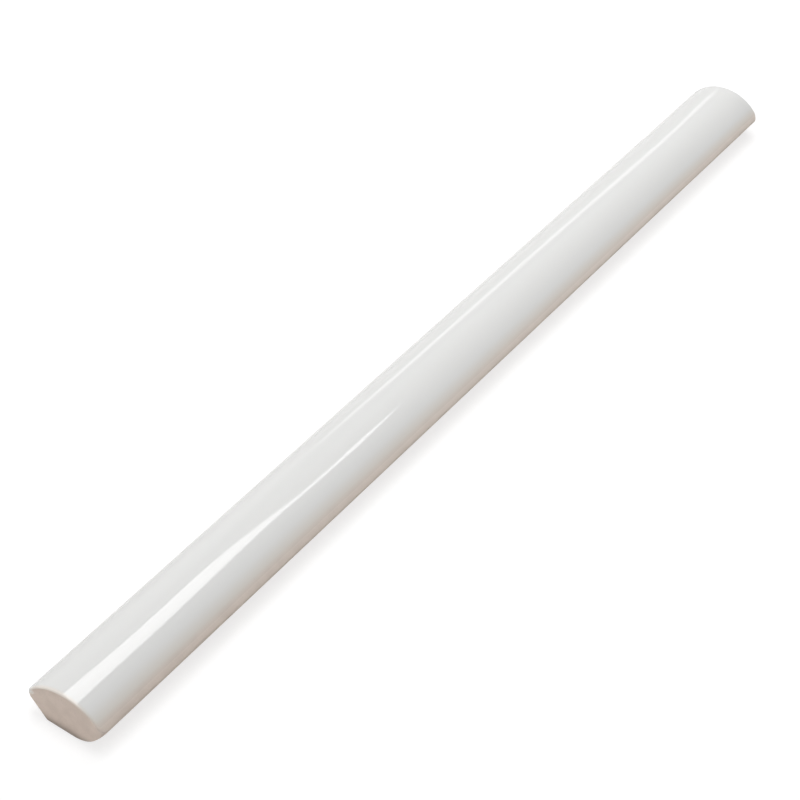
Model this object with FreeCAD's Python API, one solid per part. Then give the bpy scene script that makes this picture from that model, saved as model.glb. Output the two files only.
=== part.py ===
"""Bullnose tile: a slim fired trim bar with a crowned glazed face, two slanted bedding legs and a flat back.

Units are millimetres. The bar lies on its flat back with the crown up: X runs along its length, Y across it
and Z up. The origin is at the level of the back, in the middle of the length and of the overall width.
"""
import FreeCAD
import Part

import math
import os

# Driving dimensions
LENGTH = 200.0
HEIGHT = 7.7               # from the back up to the top of the crown
CROWN_RADIUS = 8.56        # the crown is one arc, with its centre below the top of the crown
TIP_RADIUS = 0.5           # rounding where a leg turns into the crown
ARRIS_RADIUS = 0.2         # easing all round each end

# The crisp side, towards positive Y
CRISP_HALF_BACK = 3.4      # from below the top of the crown out to the corner where leg and back would meet
CRISP_LEG_ANGLE = 45.0     # degrees between the leg and the back
CRISP_HEEL_RADIUS = 0.5    # rounding where the leg meets the back

# The soft side, towards negative Y, has a steeper leg and a widely rounded heel
SOFT_HALF_BACK = 4.1
SOFT_LEG_ANGLE = 51.4
SOFT_HEEL_RADIUS = 5.0


def offset(point, direction, distance):
    """The point that lies a distance from another, along a unit direction, in the plane of the section."""
    return (point[0] + direction[0] * distance, point[1] + direction[1] * distance)


def unit(angle):
    """The unit direction at an angle from horizontal."""
    return (math.cos(angle), math.sin(angle))


def dot(first, second):
    """The scalar product of two directions."""
    return first[0] * second[0] + first[1] * second[1]


def side_points(half_back, leg_angle, heel_radius):
    """The tangent points and arc middles of one side, from the back out and up to the crown, and the side's reach."""
    angle = math.radians(leg_angle)
    leg = unit(angle)
    outward_angle = angle - math.pi / 2.0
    outward = unit(outward_angle)
    corner = (half_back, 0.0)

    heel_setback = heel_radius * math.tan(angle / 2.0)
    heel_centre = (half_back - heel_setback, heel_radius)
    heel_middle = unit((outward_angle - math.pi / 2.0) / 2.0)

    # The tip's centre lies a tip radius inside the leg and a tip radius inside the crown.
    crown_centre = (0.0, HEIGHT - CROWN_RADIUS)
    tip_line = offset(corner, outward, -TIP_RADIUS)
    from_crown = offset(tip_line, crown_centre, -1.0)
    along = dot(from_crown, leg)
    leg_length = math.sqrt(along ** 2 - dot(from_crown, from_crown) + (CROWN_RADIUS - TIP_RADIUS) ** 2) - along
    tip_centre = offset(tip_line, leg, leg_length)
    crown_angle = math.atan2(tip_centre[1] - crown_centre[1], tip_centre[0])
    tip_middle = unit((crown_angle + outward_angle) / 2.0)

    return {
        "back": (heel_centre[0], 0.0),
        "heel": offset(heel_centre, heel_middle, heel_radius),
        "leg_start": offset(corner, leg, heel_setback),
        "leg_end": offset(corner, leg, leg_length),
        "tip": offset(tip_centre, tip_middle, TIP_RADIUS),
        "crown_start": offset(tip_centre, unit(crown_angle), TIP_RADIUS),
        "reach": (tip_centre[0] + TIP_RADIUS, 0.0),
    }


def vectors(points, side, middle):
    """The points of one side in space, on the side of positive Y (1) or negative Y (-1) of the width's middle."""
    return {name: FreeCAD.Vector(-LENGTH / 2.0, side * point[0] - middle, point[1])
            for name, point in points.items()}


def section_edges():
    """The closed outline at one end: back, two legs with rounded heels and tips, and one arc over the crown."""
    crisp = side_points(CRISP_HALF_BACK, CRISP_LEG_ANGLE, CRISP_HEEL_RADIUS)
    soft = side_points(SOFT_HALF_BACK, SOFT_LEG_ANGLE, SOFT_HEEL_RADIUS)
    middle = (crisp["reach"][0] - soft["reach"][0]) / 2.0
    sides = (vectors(crisp, 1, middle), vectors(soft, -1, middle))

    edges = [Part.LineSegment(sides[1]["back"], sides[0]["back"])]
    for at in sides:
        edges.append(Part.Arc(at["back"], at["heel"], at["leg_start"]))
        edges.append(Part.LineSegment(at["leg_start"], at["leg_end"]))
        edges.append(Part.Arc(at["leg_end"], at["tip"], at["crown_start"]))
    top = FreeCAD.Vector(-LENGTH / 2.0, -middle, HEIGHT)
    edges.append(Part.Arc(sides[0]["crown_start"], top, sides[1]["crown_start"]))
    return [edge.toShape() for edge in edges]


def end_edges(bar):
    """The edges that run round the two ends of the bar."""
    ends = (-LENGTH / 2.0, LENGTH / 2.0)
    tolerance = 1e-6
    return [edge for edge in bar.Edges
            if any(abs(edge.BoundBox.XMin - x) < tolerance and abs(edge.BoundBox.XMax - x) < tolerance
                   for x in ends)]


def bullnose_tile():
    """The bar: the section drawn out along X, with the arrises of both ends eased."""
    outline = Part.Wire(Part.__sortEdges__(section_edges()))
    bar = Part.Face(outline).extrude(FreeCAD.Vector(LENGTH, 0.0, 0.0))
    return bar.makeFillet(ARRIS_RADIUS, end_edges(bar))


os.makedirs("parts", exist_ok=True)
bullnose_tile().exportStep("parts/bullnose_tile.step")
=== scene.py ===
"""Looks of a bullnose tile: a white-glazed trim bar that lies on its flat back on a pale studio floor.

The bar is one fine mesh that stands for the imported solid. Its section is drawn from the same sizes, finely
enough for the crown to mirror the lamps cleanly, and each point of the mesh carries how thickly the glaze
covers it. Lengths are in metres. X runs along the bar, Y across it and Z up. The near end is at negative X.
"""

import math

import bpy
import numpy as np
from mathutils import Matrix, Vector, noise


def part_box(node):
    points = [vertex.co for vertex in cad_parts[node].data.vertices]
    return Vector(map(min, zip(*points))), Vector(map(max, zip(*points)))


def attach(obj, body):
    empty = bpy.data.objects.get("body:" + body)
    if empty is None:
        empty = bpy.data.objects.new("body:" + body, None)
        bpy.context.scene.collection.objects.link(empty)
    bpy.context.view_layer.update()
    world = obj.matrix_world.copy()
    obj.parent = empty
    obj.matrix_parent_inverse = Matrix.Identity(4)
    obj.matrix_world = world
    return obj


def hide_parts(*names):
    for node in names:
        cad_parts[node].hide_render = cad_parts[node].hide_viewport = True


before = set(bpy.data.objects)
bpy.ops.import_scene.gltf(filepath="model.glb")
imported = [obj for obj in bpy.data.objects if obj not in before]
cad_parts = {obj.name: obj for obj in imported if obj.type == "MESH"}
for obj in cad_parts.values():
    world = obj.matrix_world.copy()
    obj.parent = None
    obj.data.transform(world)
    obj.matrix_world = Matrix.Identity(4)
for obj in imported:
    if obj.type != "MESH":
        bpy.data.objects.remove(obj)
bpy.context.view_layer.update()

MM = 0.001
NODE = "bullnose_tile"
PIECE = "bullnose_tile_glazed"
LOW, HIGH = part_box(NODE)
HALF_LENGTH = HIGH.x
HALF_WIDTH = HIGH.y
HEIGHT = HIGH.z

# Section: the crisp side lies towards positive Y and the soft side towards negative Y
CROWN_RADIUS = 8.56 * MM
TIP_RADIUS = 0.5 * MM
CRISP_SIDE = {"half_back": 3.4 * MM, "leg_angle": math.radians(45.0), "heel_radius": 0.5 * MM}
SOFT_SIDE = {"half_back": 4.1 * MM, "leg_angle": math.radians(51.4), "heel_radius": 5.0 * MM}
HALF_CROWN_STEPS = 66
TIP_STEPS = 12
LEG_STEPS = 8
HEEL_STEPS = 8
HALF_BACK_STEPS = 5

# Ends
CROWN_ARRIS = 0.23 * MM      # easing where the glazed crown meets an end
LOWER_ARRIS = 0.22 * MM      # easing round the bare back and legs
ARRIS_CHANGE = (-0.3, 0.3)   # the normal's upward part, where the lower easing turns into the crown's
ARRIS_WEAR = 0.02 * MM       # how much the easing varies round the end
WEAR_SCALE = 4.0             # how quickly it varies as the outline turns
WEAR_SEED = 9.0
ARRIS_STEPS = 9
CRISP_CORNER = 0.7 * MM      # an end's corner at the crisp side's tip is rounded by this, seen from above
SOFT_CORNER = 1.1 * MM       # and at the soft side's tip
BODY_STEPS = 240
CAP_RINGS = 16
CAP_CORE = 0.06              # the innermost ring's share of the end's outline
CAP_CROWDING = 1.5           # above 1, the rings of an end face lie closer together near its rim
GRIME_AND_SHADE_HEIGHT = 2.3 * MM      # painted contact shade and dirt darken the foot of each end up to here
GRIME_AND_SHADE_FADE = 1.5             # above 1, the painted shade and the dirt fade sooner on the way up
GRIME_AND_SHADE_REACH = 1.5 * MM       # it reaches back from the end face this far
GRIME_AND_SHADE_FULL = 0.2             # and is full over this share of that reach

# Glaze
MARGIN_BARE = 0.25 * MM      # along the section from the crown's lower edge, where the glaze has run out
MARGIN_FULL = 4.3 * MM       # and where it is at its full thickness at the near end
MARGIN_TAPER = 1.6 * MM      # at the far end it gets there this much sooner
MARGIN_WANDER = 0.16 * MM    # how far the margin strays along the bar, in a slow and a quick line
WANDERS = [(0.6, 3.1, 34.0 * MM), (0.4, 7.7, 7.0 * MM)]    # each line's share, seed and wavelength
SEED_SLANT = 0.37            # the second place that a seed gives in the noise, for each unit of it
FILM_START = -220.0 * MM     # a film of glaze pales the bare margin more and more from here, before the bar
FILM_FULL = 70.0 * MM        # and most from here along the bar
FILM_MARGIN = 0.55           # the film's share there
FILM_EDGE = (-0.6 * MM, 0.1 * MM)    # up from the crown's lower edge, where that film begins and is full
FILM_RIM = 0.14 * MM         # past the rim of an end face, either way, the film there ends and is full
FILM_CROWN = (0.2, 0.55)     # the shares up the crown where the film round the rim begins and is full
OVERRUN = 0.9 * MM           # past the crown's upper edge, where the glaze has thinned to nothing
NEAR_END = (-0.05 * MM, 0.9 * MM)    # back from the rim of the near end face, where glaze begins and is full
FAR_END = (-0.4 * MM, 0.1 * MM)      # and the same at the far end
CORNER_WRAP = 0.9 * MM       # how far the glaze laps onto the near end face at the crisp side's tip
CORNER_SPREAD = 1.2 * MM     # along the section, how far from the tip it does so
CORNER_FULL = 0.2            # and the share of that over which it does so fully
MARGIN_SINK = 0.04 * MM      # the bare margin lies this much lower than the glaze
SINK_REACH = 0.7 * MM        # up from the crown's lower edge, where it is that low
GLAZE_SWELL = 0.014 * MM     # slow unevenness of the fired glaze
SWELL_LENGTH = 21.0 * MM     # its wavelength along the bar
SWELL_WIDTH = 5.0 * MM       # and along the section
SWELL_SEED = 2.3

# Ceramic: colours are linear, and ranges of the glaze's cover run from 0, bare, to 1, full
BISCUIT_DARK = (0.67, 0.56, 0.485, 1.0)
BISCUIT_PALE = (0.73, 0.615, 0.535, 1.0)
MOTTLE_WAVES = 420.0         # waves to the metre of the cloudy change between these two
MOTTLE_DETAIL = 4.0
MOTTLE_RANGE = (0.3, 0.7)
SPECK_COLOR = (0.50, 0.41, 0.34, 1.0)
GRAIN_WAVES = 3600.0         # waves to the metre of the grain, which also gives the specks
GRAIN_DETAIL = 3.0
SPECK_RANGE = (0.52, 0.72)
SPECK_SHARE = 0.22
# painted contact shade and dirt along the foot of each end
GRIME_AND_SHADE_COLOR = (0.16, 0.13, 0.11, 1.0)
GRIME_AND_SHADE_SHARE = 0.6
THIN_GLAZE = (0.738, 0.70, 0.645, 1.0)
THIN_COVER = (0.0, 0.35)     # where biscuit turns into thin glaze
FULL_GLAZE = (0.79, 0.79, 0.778, 1.0)
FULL_COVER = (0.3, 1.0)      # where thin glaze turns into full glaze
FILM_COLOR = (0.85, 0.79, 0.73, 1.0)
GLOSS_COVER = (0.01, 0.12)   # where the surface turns from rough to glossy
BISCUIT_ROUGHNESS = 0.82
GLAZE_ROUGHNESS = 0.07
GLAZE_IOR = 1.5
GRAIN_COVER = (0.0, 0.15)    # where the grain's relief fades out
GRAIN_RELIEF = 0.3
GRAIN_DEPTH = 0.06 * MM

# Camera: an 800 by 800 image, focal length in pixels
IMAGE_SIZE = 800.0
FOCAL_PIXELS = 2284.0
SENSOR_WIDTH = 36.0
CAMERA_PLACE = (-0.25918, -0.147, 0.25775)
CAMERA_YAW = math.radians(31.06)
CAMERA_PITCH = math.radians(41.562)
CAMERA_ROLL = math.radians(-5.267)

# Light
SKY_SLOPES = (-0.62, 0.30, 0.36)    # how the sky's radiance grows towards X, Y and Z
WHITE = (1.0, 1.0, 1.0, 1.0)
KEY_RADIANCE = 6.0
KEY_HEIGHT = 0.6
KEY_SHIFT = 0.004            # the key softbox's outline is moved this far along Y
KEY_OUTLINE = [(0.18, -0.01), (0.29, -0.012), (0.325, 0.015), (0.35, 0.04), (0.37, 0.042), (0.40, 0.0),
               (0.44, -0.036), (0.476, 0.018), (0.445, 0.055), (0.418, 0.045), (0.393, 0.075), (0.383, 0.15),
               (0.378, 0.30), (0.35, 0.305), (0.316, 0.30), (0.302, 0.335), (0.296, 0.41), (0.18, 0.41)]
TOP_RADIANCE = 6.35
TOP_LOW = (-0.10, -0.20)     # the top softbox lies flat between these corners, level with the key softbox
TOP_HIGH = (0.10, 0.25)
STRIP_RADIANCE = 2.1
STRIP_SIDE = 0.5
STRIP_OUTLINE = [(0.33, 0.13), (0.57, 0.23), (0.71, 0.312), (0.80, 0.38), (0.785, 0.272), (0.905, 0.455),
                 (0.90, 0.49), (0.925, 0.56), (0.82, 0.49), (0.69, 0.39), (0.47, 0.275)]
STRIP_HINGE = 0.22           # along X, the place from which the strip lamp's outline is swung
STRIP_SWING = (0.045, 0.07)  # how far it is swung back along X, and down, for each metre past that place
CARD_RADIANCE = 0.74         # a grey card behind the strip lamp, which only the glaze mirrors
CARD_SIDE = 0.52
CARD_LOW = (0.36, 0.0)
CARD_HIGH = (1.5, 0.62)
FLOOR_SIZE = 8.0
FLOOR_GAP = 0.02 * MM
FLOOR_BOUNCE = 0.95          # the floor's albedo where it lights the bar
FLOOR_MIRROR = 0.84          # its albedo where the glaze mirrors it
FLOOR_SHADE = 0.32           # its albedo where it is seen, and the glow added there
FLOOR_GLOW = 0.745
FLOOR_FADE = (0.22, 0.7)     # out from the middle, where the glow starts to rise and the floor is white


def smooth_step(low, high, value):
    """0 below low, 1 above high, and a smooth rise between."""
    share = np.clip((np.asarray(value) - low) / (high - low), 0.0, 1.0)
    return share * share * (3.0 - 2.0 * share)


def arc(centre, radius, first, last, steps):
    """Points and normals along an arc, from a first to a last angle, without its end point."""
    angles = first + (last - first) * np.arange(steps) / steps
    normals = np.column_stack([np.cos(angles), np.sin(angles)])
    return np.asarray(centre) + radius * normals, normals


def line(start, end, normal_angle, steps):
    """Points and normals along a straight stretch, without its end point."""
    share = (np.arange(steps) / steps)[:, None]
    points = np.asarray(start) * (1.0 - share) + np.asarray(end) * share
    return points, np.tile([math.cos(normal_angle), math.sin(normal_angle)], (steps, 1))


def half_outline(half_back, leg_angle, heel_radius):
    """One side's outline, from the top of the crown down to the middle of the back, drawn for positive Y.

    Returns its points, its normals, the distance of each point from the top and the length of its half of
    the crown.
    """
    leg_out_angle = leg_angle - math.pi / 2.0
    leg = np.array([math.cos(leg_angle), math.sin(leg_angle)])
    leg_out = np.array([math.cos(leg_out_angle), math.sin(leg_out_angle)])
    crown = np.array([0.0, HEIGHT - CROWN_RADIUS])
    corner = np.array([half_back, 0.0])

    from_crown = corner - TIP_RADIUS * leg_out - crown
    along = from_crown @ leg
    leg_length = math.sqrt(along ** 2 - from_crown @ from_crown + (CROWN_RADIUS - TIP_RADIUS) ** 2) - along
    tip = crown + from_crown + leg_length * leg
    crown_angle = math.atan2(tip[1] - crown[1], tip[0])
    setback = heel_radius * math.tan(leg_angle / 2.0)
    heel = np.array([half_back - setback, heel_radius])

    stretches = [
        arc(crown, CROWN_RADIUS, math.pi / 2.0, crown_angle, HALF_CROWN_STEPS),
        arc(tip, TIP_RADIUS, crown_angle, leg_out_angle, TIP_STEPS),
        line(corner + leg_length * leg, corner + setback * leg, leg_out_angle, LEG_STEPS),
        arc(heel, heel_radius, leg_out_angle, -math.pi / 2.0, HEEL_STEPS),
        line((heel[0], 0.0), (0.0, 0.0), -math.pi / 2.0, HALF_BACK_STEPS + 1),
    ]
    points = np.vstack([stretch[0] for stretch in stretches])
    normals = np.vstack([stretch[1] for stretch in stretches])
    steps = np.linalg.norm(np.diff(points, axis=0), axis=1)
    distances = np.concatenate([[0.0], np.cumsum(steps)])
    return points, normals, distances, CROWN_RADIUS * (math.pi / 2.0 - crown_angle)


def section():
    """The whole outline, from the top of the crown down the crisp side, along the back and up the soft side.

    Returns its points, its normals, the distance of each point round the outline and the length of the
    crown. The distance is 0 at the crown's lower edge on the soft side, grows over the crown and is negative
    below that edge.
    """
    crisp_points, crisp_normals, crisp_distances, crisp_crown = half_outline(**CRISP_SIDE)
    soft_points, soft_normals, soft_distances, soft_crown = half_outline(**SOFT_SIDE)
    mirror = np.array([-1.0, 1.0])
    points = np.vstack([crisp_points, (soft_points * mirror)[:0:-1]])
    normals = np.vstack([crisp_normals, (soft_normals * mirror)[:0:-1]])
    along = np.concatenate([soft_crown + crisp_distances, soft_crown - soft_distances[:0:-1]])
    points[:, 0] -= (points[:, 0].max() + points[:, 0].min()) / 2.0
    points[:, 0] = np.clip(points[:, 0], LOW.y, HIGH.y)
    return points, normals, along, soft_crown + crisp_crown


def wander(x, seed, wave):
    """A slow random line along the bar, from -1 to 1."""
    return noise.noise(Vector((x / wave, seed, SEED_SLANT * seed)))


def section_cover(x, along, crown_length):
    """How thickly glaze covers the points of one ring away from the ends: 1 is full, 0 is bare."""
    shift = MARGIN_WANDER * sum(share * wander(x, seed, wave) for share, seed, wave in WANDERS)
    full = MARGIN_FULL - MARGIN_TAPER * (x + HALF_LENGTH) / (2.0 * HALF_LENGTH)
    lower = smooth_step(MARGIN_BARE + shift, full + shift, along)
    upper = 1.0 - smooth_step(crown_length, crown_length + OVERRUN, along)
    return lower * upper


def glaze(x, along, crown_length, rim_distance):
    """The glaze on one ring: how thickly it covers each point, and how much pale film lies there besides.

    rim_distance runs back along the surface from the rim of the end face, and is negative on the face.
    """
    cover = section_cover(x, along, crown_length)
    if x < 0.0:
        rim_distance = rim_distance + CORNER_WRAP * crisp_corner(along, crown_length)
    end = smooth_step(*(NEAR_END if x < 0.0 else FAR_END), rim_distance)
    margin = FILM_MARGIN * smooth_step(FILM_START, FILM_FULL, x) * smooth_step(*FILM_EDGE, along)
    margin = margin * (1.0 - cover) * (along < crown_length / 2.0)
    rim = cover * (1.0 - end) * smooth_step(*FILM_CROWN, along / crown_length)
    return cover * end, np.maximum(margin, rim) * smooth_step(-FILM_RIM, FILM_RIM, rim_distance)


def crisp_corner(along, crown_length):
    """1 at the crisp side's tip, falling to 0 along the section."""
    return 1.0 - smooth_step(CORNER_FULL * CORNER_SPREAD, CORNER_SPREAD, np.abs(along - crown_length))


def arris_radii(normals, side):
    """The easing at each point round an end: a little more on the crown than below, and uneven."""
    share = smooth_step(*ARRIS_CHANGE, normals[:, 1])
    wear = [noise.noise(Vector((WEAR_SCALE * n[0], WEAR_SCALE * n[1], WEAR_SEED + side))) for n in normals]
    return LOWER_ARRIS + (CROWN_ARRIS - LOWER_ARRIS) * share + ARRIS_WEAR * np.array(wear)


def corner_recess(y):
    """How far an end falls back at places across the bar, where its corners are rounded off in plan."""
    recess = np.zeros(len(y))
    for side, radius in ((1.0, CRISP_CORNER), (-1.0, SOFT_CORNER)):
        past = np.clip(side * y - (HALF_WIDTH - radius), 0.0, radius)
        recess += radius - np.sqrt(radius ** 2 - past ** 2)
    return recess


def surface_sink(x, along, crown_length):
    """How far the surface lies inside the plain section: the margin is lower and the glaze is uneven."""
    cover = section_cover(x, along, crown_length)
    margin = (1.0 - cover) * smooth_step(0.0, SINK_REACH, along) * (along < crown_length / 2.0)
    swell = [noise.noise(Vector((x / SWELL_LENGTH, u / SWELL_WIDTH, SWELL_SEED))) for u in along]
    return MARGIN_SINK * margin + GLAZE_SWELL * 0.5 * (1.0 + np.array(swell)) * cover


def end_rings(outline, side):
    """The rings of one end, from the bar's side round the arris to the rim of the face, with their glaze."""
    points, normals, along, crown_length = outline
    radii = arris_radii(normals, side)
    rings, coats = [], []
    for angle in np.linspace(0.0, math.pi / 2.0, ARRIS_STEPS):
        coat = glaze(side * HALF_LENGTH, along, crown_length, radii * (math.pi / 2.0 - angle))
        sink = surface_sink(side * HALF_LENGTH, along, crown_length) * math.cos(angle)
        moved = points - normals * (radii * (1.0 - math.cos(angle)) + sink)[:, None]
        x = side * (HALF_LENGTH - corner_recess(moved[:, 0]) - radii * (1.0 - math.sin(angle)))
        rings.append(np.column_stack([x, moved]))
        coats.append(coat)
    return rings, coats


def cap_rings(outline, rim, side):
    """Rings that run in from the rim of an end face to its middle, with their glaze.

    They lie closer together near the rim.
    """
    along, crown_length = outline[2:]
    flat = rim[:, 1:]
    middle = flat.mean(axis=0)
    steps = (np.arange(1, CAP_RINGS + 1) / CAP_RINGS) ** CAP_CROWDING
    rings, coats = [], []
    for share in 1.0 - (1.0 - CAP_CORE) * steps:
        moved = middle + (flat - middle) * share
        rings.append(np.column_stack([side * (HALF_LENGTH - corner_recess(moved[:, 0])), moved]))
        inward = np.linalg.norm(moved - flat, axis=1)
        coats.append(glaze(side * HALF_LENGTH, along, crown_length, -inward))
    return rings, coats


def body_rings(outline):
    """The rings between the two eased ends, closer together near the ends, with their glaze."""
    points, normals, along, crown_length = outline
    recess = corner_recess(points[:, 0])
    radii = {side: arris_radii(normals, side) for side in (-1, 1)}
    rings, coats = [], []
    for step in np.linspace(-1.0, 1.0, BODY_STEPS + 1)[1:-1]:
        share = math.sin(step * math.pi / 2.0)
        easing = radii[-1 if share < 0.0 else 1]
        x = share * (HALF_LENGTH - recess - easing)
        rim_distance = HALF_LENGTH - recess - np.abs(x) + easing * (math.pi / 2.0 - 1.0)
        coat = glaze(share * HALF_LENGTH, along, crown_length, rim_distance)
        sink = surface_sink(share * HALF_LENGTH, along, crown_length)
        rings.append(np.column_stack([x, points - normals * sink[:, None]]))
        coats.append(coat)
    return rings, coats


def foot_grime_and_shade(points):
    """How much painted contact shade and dirt darken each point of the bar: 1 along the foot of both ends,
    and 0 away from it.
    """
    low = np.clip(1.0 - points[:, 2] / GRIME_AND_SHADE_HEIGHT, 0.0, 1.0) ** GRIME_AND_SHADE_FADE
    near = 1.0 - smooth_step(GRIME_AND_SHADE_FULL * GRIME_AND_SHADE_REACH, GRIME_AND_SHADE_REACH, HALF_LENGTH - np.abs(points[:, 0]))
    return low * near


def bar_mesh():
    """The bar's mesh: rings from the middle of one end face, along the bar, to the middle of the other."""
    outline = section()
    near, near_coats = end_rings(outline, -1)
    far, far_coats = end_rings(outline, 1)
    body, body_coats = body_rings(outline)
    near_cap, near_cap_coats = cap_rings(outline, near[-1], -1)
    far_cap, far_cap_coats = cap_rings(outline, far[-1], 1)

    rings = near_cap[::-1] + near[::-1] + body + far + far_cap
    coats = near_cap_coats[::-1] + near_coats[::-1] + body_coats + far_coats + far_cap_coats
    cover, film = np.hstack(coats)
    count = len(outline[0])
    corners = np.arange(count)
    following = np.roll(corners, -1)
    faces = []
    for index in range(len(rings) - 1):
        first, second = index * count, (index + 1) * count
        faces += np.column_stack([first + corners, first + following,
                                  second + following, second + corners]).tolist()
    faces.append(corners[::-1].tolist())
    faces.append(((len(rings) - 1) * count + corners).tolist())

    points = np.vstack(rings)
    mesh = bpy.data.meshes.new(PIECE)
    mesh.from_pydata(points.tolist(), [], faces)
    mesh.attributes.new("glaze", "FLOAT", "POINT").data.foreach_set("value", cover)
    mesh.attributes.new("film", "FLOAT", "POINT").data.foreach_set("value", film)
    # this attribute holds painted contact shade at the foot of each end, together with dirt there
    mesh.attributes.new("grime_and_shade", "FLOAT", "POINT").data.foreach_set("value", foot_grime_and_shade(points))
    end_faces = CAP_RINGS * count
    smooth = np.ones(len(faces), dtype=bool)
    smooth[:end_faces] = False
    smooth[-end_faces - 2:] = False
    mesh.polygons.foreach_set("use_smooth", smooth)
    mesh.validate()
    mesh.update()
    return mesh


def add_node(tree, kind, inputs=None, **settings):
    """A node with its settings and its inputs: each input takes a value or another node's output."""
    node = tree.nodes.new(kind)
    for name, value in settings.items():
        setattr(node, name, value)
    for name, value in (inputs or {}).items():
        if isinstance(value, bpy.types.NodeSocket):
            tree.links.new(value, node.inputs[name])
        else:
            node.inputs[name].default_value = value
    return node


def new_tree(material):
    """The empty node tree of a material or a world."""
    material.use_nodes = True
    material.node_tree.nodes.clear()
    return material.node_tree


# Places of a colour mix's sockets
MIX_FACTOR, MIX_A, MIX_B, MIX_RESULT = 0, 6, 7, 2


def mix_colors(tree, factor, first, second):
    """The output of a colour mix."""
    mixed = add_node(tree, "ShaderNodeMix", {MIX_FACTOR: factor, MIX_A: first, MIX_B: second},
                     data_type="RGBA")
    return mixed.outputs[MIX_RESULT]


def map_range(tree, value, low, high, to_low, to_high, kind="SMOOTHSTEP"):
    """The output of a map from one range to another, smooth or linear."""
    mapped = add_node(tree, "ShaderNodeMapRange", {"Value": value, "From Min": low, "From Max": high,
                                                   "To Min": to_low, "To Max": to_high},
                      interpolation_type=kind)
    return mapped.outputs["Result"]


def noise_field(tree, place, waves, detail):
    """The output of a noise texture in the bar's own space, with so many waves to the metre."""
    field = add_node(tree, "ShaderNodeTexNoise", {"Vector": place, "Scale": waves, "Detail": detail})
    return field.outputs["Fac"]


def attribute(tree, name):
    """The output of a value that the mesh carries at each point."""
    return add_node(tree, "ShaderNodeAttribute", attribute_name=name).outputs["Fac"]


def ceramic():
    """White gloss glaze over a beige biscuit body, told apart by the mesh's glaze cover."""
    material = bpy.data.materials.new("glazed_ceramic")
    tree = new_tree(material)
    place = add_node(tree, "ShaderNodeTexCoord").outputs["Object"]
    cover = attribute(tree, "glaze")

    mottle = noise_field(tree, place, MOTTLE_WAVES, MOTTLE_DETAIL)
    grain = noise_field(tree, place, GRAIN_WAVES, GRAIN_DETAIL)
    clouds = map_range(tree, mottle, *MOTTLE_RANGE, 0.0, 1.0)
    specks = map_range(tree, grain, *SPECK_RANGE, 0.0, SPECK_SHARE)
    # the biscuit darkens at the foot of each end: painted contact shade together with dirt
    grime_and_shade = map_range(tree, attribute(tree, "grime_and_shade"), 0.0, 1.0, 0.0, GRIME_AND_SHADE_SHARE)
    biscuit = mix_colors(tree, clouds, BISCUIT_DARK, BISCUIT_PALE)
    biscuit = mix_colors(tree, specks, biscuit, SPECK_COLOR)
    biscuit = mix_colors(tree, grime_and_shade, biscuit, GRIME_AND_SHADE_COLOR)

    thin = map_range(tree, cover, *THIN_COVER, 0.0, 1.0, "LINEAR")
    full = map_range(tree, cover, *FULL_COVER, 0.0, 1.0, "LINEAR")
    color = mix_colors(tree, thin, biscuit, THIN_GLAZE)
    color = mix_colors(tree, full, color, FULL_GLAZE)
    color = mix_colors(tree, attribute(tree, "film"), color, FILM_COLOR)
    roughness = map_range(tree, cover, *GLOSS_COVER, BISCUIT_ROUGHNESS, GLAZE_ROUGHNESS)

    strength = map_range(tree, cover, *GRAIN_COVER, GRAIN_RELIEF, 0.0)
    relief = add_node(tree, "ShaderNodeBump",
                      {"Strength": strength, "Distance": GRAIN_DEPTH, "Height": grain})
    shader = add_node(tree, "ShaderNodeBsdfPrincipled", {
        "Base Color": color,
        "Roughness": roughness,
        "Normal": relief.outputs["Normal"],
        "IOR": GLAZE_IOR,
    })
    add_node(tree, "ShaderNodeOutputMaterial", {"Surface": shader.outputs["BSDF"]})
    return material


def make_bar():
    """The bar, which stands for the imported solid."""
    bar = bpy.data.objects.new(PIECE, bar_mesh())
    bpy.context.scene.collection.objects.link(bar)
    bar.data.materials.append(ceramic())
    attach(bar, "root")
    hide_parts(NODE)
    return bar


def seen_by(tree, *rays):
    """1 for the kinds of ray that are named, and 0 for those that only carry light."""
    path = add_node(tree, "ShaderNodeLightPath").outputs
    seen = path[rays[0]]
    for ray in rays[1:]:
        seen = add_node(tree, "ShaderNodeMath", {0: seen, 1: path[ray]}, operation="MAXIMUM").outputs[0]
    return seen


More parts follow.
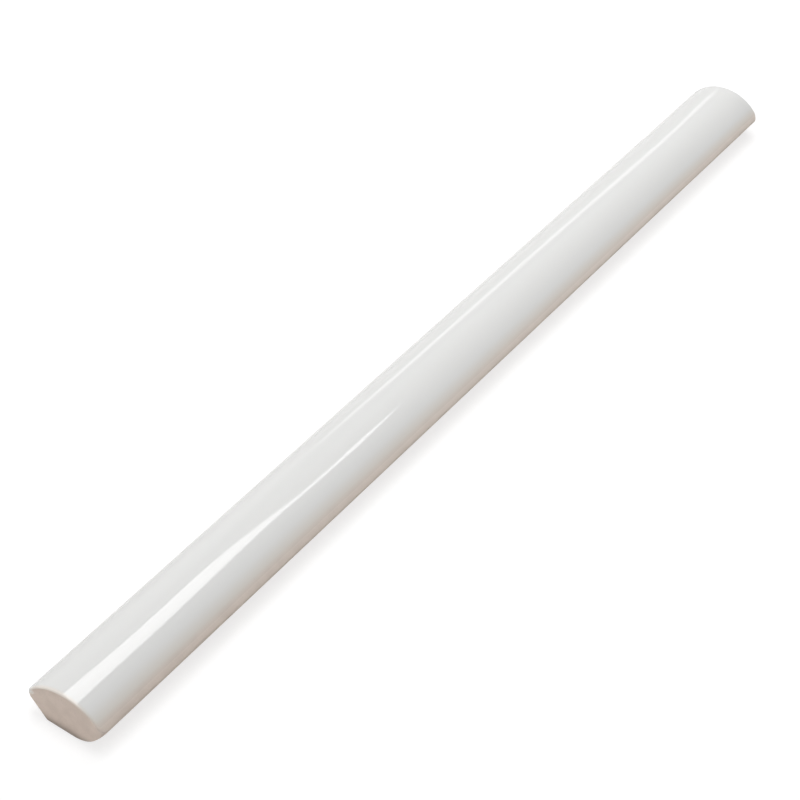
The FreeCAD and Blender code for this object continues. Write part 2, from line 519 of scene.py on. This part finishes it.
def make_floor():
    """A plain pale floor that looks white and keeps the bar's shadow."""
    corner = FLOOR_SIZE / 2.0
    mesh = bpy.data.meshes.new("floor")
    mesh.from_pydata([(-corner, -corner, 0.0), (corner, -corner, 0.0), (corner, corner, 0.0),
                      (-corner, corner, 0.0)], [], [(0, 1, 2, 3)])
    floor = bpy.data.objects.new("floor", mesh)
    floor.location.z = LOW.z - FLOOR_GAP
    bpy.context.scene.collection.objects.link(floor)

    material = bpy.data.materials.new("floor_white")
    tree = new_tree(material)
    seen = seen_by(tree, "Is Camera Ray", "Is Transmission Ray")
    place = add_node(tree, "ShaderNodeTexCoord").outputs["Object"]
    distance = add_node(tree, "ShaderNodeVectorMath", {0: place}, operation="LENGTH").outputs["Value"]
    level = map_range(tree, distance, *FLOOR_FADE, FLOOR_GLOW, 1.0)
    glow = add_node(tree, "ShaderNodeMath", {0: seen, 1: level}, operation="MULTIPLY")
    albedo = add_node(tree, "ShaderNodeMath", {0: seen, 1: FLOOR_SHADE - FLOOR_BOUNCE, 2: FLOOR_BOUNCE},
                      operation="MULTIPLY_ADD")
    mirrored = seen_by(tree, "Is Glossy Ray")
    albedo = add_node(tree, "ShaderNodeMath",
                      {0: mirrored, 1: FLOOR_MIRROR - FLOOR_BOUNCE, 2: albedo.outputs[0]},
                      operation="MULTIPLY_ADD")
    lit = add_node(tree, "ShaderNodeBsdfDiffuse", {"Color": albedo.outputs[0]})
    shine = add_node(tree, "ShaderNodeEmission", {"Strength": glow.outputs[0]})
    both = add_node(tree, "ShaderNodeAddShader", {0: lit.outputs[0], 1: shine.outputs[0]})
    add_node(tree, "ShaderNodeOutputMaterial", {"Surface": both.outputs[0]})
    floor.data.materials.append(material)


def make_softbox(name, corners, radiance):
    """A flat lamp of a given outline, which the camera doesn't see. Returns its object."""
    mesh = bpy.data.meshes.new(name)
    mesh.from_pydata(corners, [], [list(range(len(corners)))])
    lamp = bpy.data.objects.new(name, mesh)
    lamp.visible_camera = False
    bpy.context.scene.collection.objects.link(lamp)

    material = bpy.data.materials.new(name)
    tree = new_tree(material)
    shine = add_node(tree, "ShaderNodeEmission", {"Strength": radiance})
    add_node(tree, "ShaderNodeOutputMaterial", {"Surface": shine.outputs[0]})
    lamp.data.materials.append(material)
    return lamp


def make_sky():
    """Soft light, strongest from above the near end's crisp side, that looks white where it is seen."""
    world = bpy.data.worlds.new("studio")
    bpy.context.scene.world = world
    tree = new_tree(world)
    direction = add_node(tree, "ShaderNodeTexCoord").outputs["Generated"]
    rise = add_node(tree, "ShaderNodeVectorMath", {0: direction, 1: SKY_SLOPES}, operation="DOT_PRODUCT")
    light = add_node(tree, "ShaderNodeMath", {0: rise.outputs["Value"], 1: 0.0}, operation="MAXIMUM")
    seen = seen_by(tree, "Is Camera Ray", "Is Glossy Ray", "Is Transmission Ray")
    unseen = add_node(tree, "ShaderNodeMath", {0: 1.0, 1: seen}, operation="SUBTRACT")
    strength = add_node(tree, "ShaderNodeMath", {0: light.outputs[0], 1: unseen.outputs[0], 2: seen},
                        operation="MULTIPLY_ADD")
    background = add_node(tree, "ShaderNodeBackground", {"Strength": strength.outputs[0], "Color": WHITE})
    add_node(tree, "ShaderNodeOutputWorld", {"Surface": background.outputs[0]})


def rectangle(low, high):
    """The corners of a rectangle, from its lowest and its highest one."""
    return [low, (high[0], low[1]), high, (low[0], high[1])]


def swing(x, z):
    """A corner of the strip lamp, swung back and down by its distance from the hinge."""
    past = x - STRIP_HINGE
    return x - STRIP_SWING[0] * past, STRIP_SIDE, z - STRIP_SWING[1] * past


def make_light():
    """The sky, two softboxes overhead, and a strip lamp in front of a grey card at the far side."""
    make_sky()
    top_corners = [(x, y, KEY_HEIGHT) for x, y in rectangle(TOP_LOW, TOP_HIGH)]
    key_corners = [(x, y + KEY_SHIFT, KEY_HEIGHT) for x, y in KEY_OUTLINE]
    strip_corners = [swing(x, z) for x, z in STRIP_OUTLINE]
    card_corners = [(x, CARD_SIDE, z) for x, z in rectangle(CARD_LOW, CARD_HIGH)]
    make_softbox("top_softbox", top_corners, TOP_RADIANCE)
    make_softbox("key_softbox", key_corners, KEY_RADIANCE)
    make_softbox("strip_lamp", strip_corners, STRIP_RADIANCE)
    card = make_softbox("grey_card", card_corners, CARD_RADIANCE)
    card.visible_diffuse = False
    card.visible_shadow = False


def make_camera():
    """The camera at the photograph's place, from its yaw, pitch and roll."""
    forward = Vector((math.cos(CAMERA_YAW) * math.cos(CAMERA_PITCH),
                      math.sin(CAMERA_YAW) * math.cos(CAMERA_PITCH),
                      -math.sin(CAMERA_PITCH)))
    right = Vector((math.sin(CAMERA_YAW), -math.cos(CAMERA_YAW), 0.0))
    down = forward.cross(right)
    level = Matrix((right, -down, -forward)).transposed()
    turned = (level @ Matrix.Rotation(-CAMERA_ROLL, 3, "Z")).to_4x4()
    data = bpy.data.cameras.new("camera")
    data.sensor_width = SENSOR_WIDTH
    data.lens = FOCAL_PIXELS * SENSOR_WIDTH / IMAGE_SIZE
    camera = bpy.data.objects.new("camera", data)
    camera.matrix_world = Matrix.Translation(CAMERA_PLACE) @ turned
    bpy.context.scene.collection.objects.link(camera)
    bpy.context.scene.camera = camera


make_bar()
make_floor()
make_light()
make_camera()
bpy.context.scene.view_settings.view_transform = "Standard"
